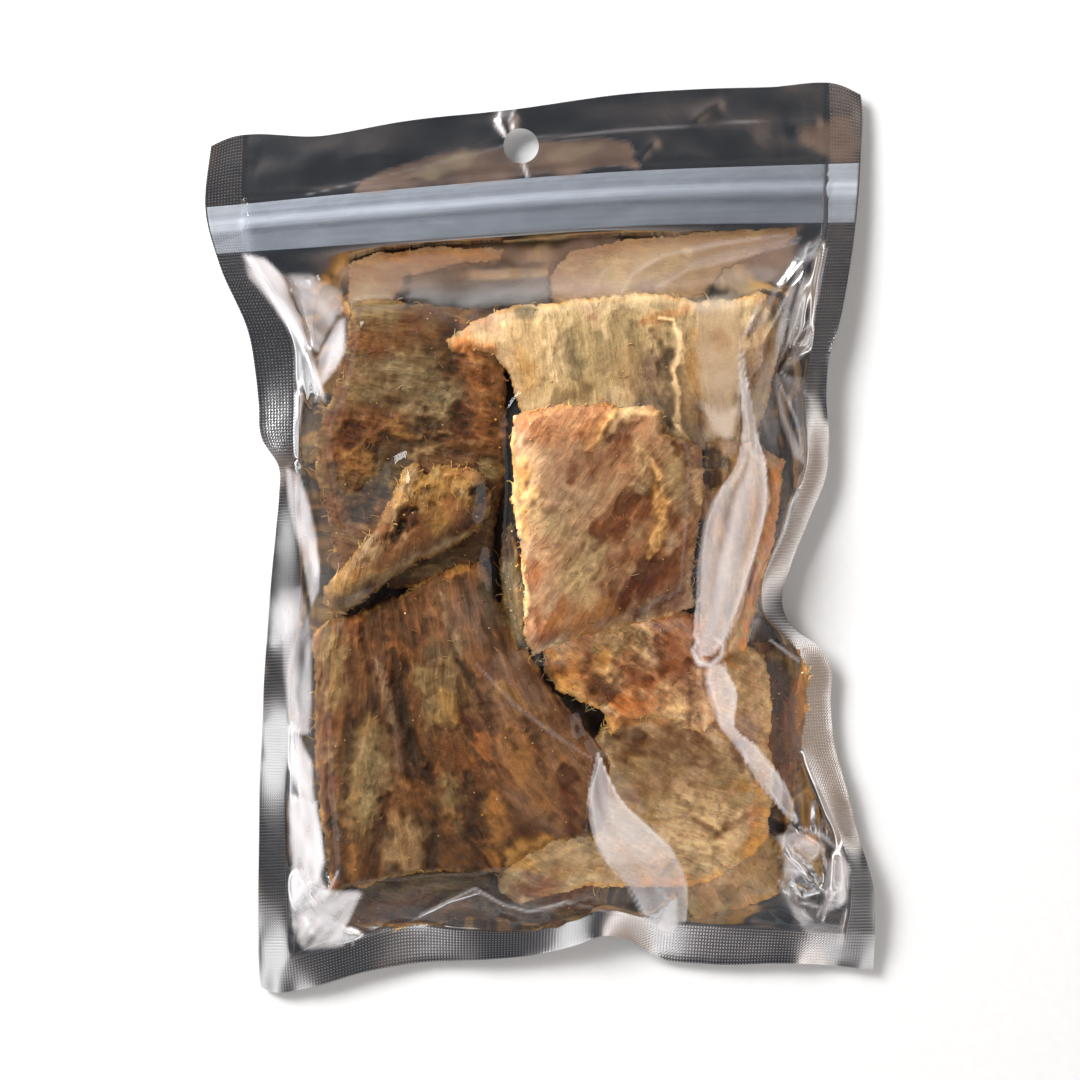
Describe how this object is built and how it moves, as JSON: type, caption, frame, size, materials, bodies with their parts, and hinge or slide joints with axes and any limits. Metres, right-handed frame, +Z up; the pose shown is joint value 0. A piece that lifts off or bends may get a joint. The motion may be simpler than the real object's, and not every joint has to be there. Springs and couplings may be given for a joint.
{
  "type": "zip pouch of dried fish pieces",
  "caption": "Clear-fronted, foil-backed zip pouch with a hang hole, full of flat dried fish pieces, lying on its back.",
  "frame": {"origin": "on the table, under the middle of the pouch's bounding box", "axes": "+Z up out of the clear front, +Y along the pouch towards its zip and hang hole, +X across it"},
  "size_m": [0.1532, 0.2066, 0.0271],
  "materials": {
    "pouch": "clear film over brown dried fish, metallised silver foil at the back and in the seals",
    "zip_strip": "milky translucent polyethylene"
  },
  "bodies": {
    "root": {"pouch": "pouch", "zip_strip": "zip_strip"}
  },
  "joints": []
}
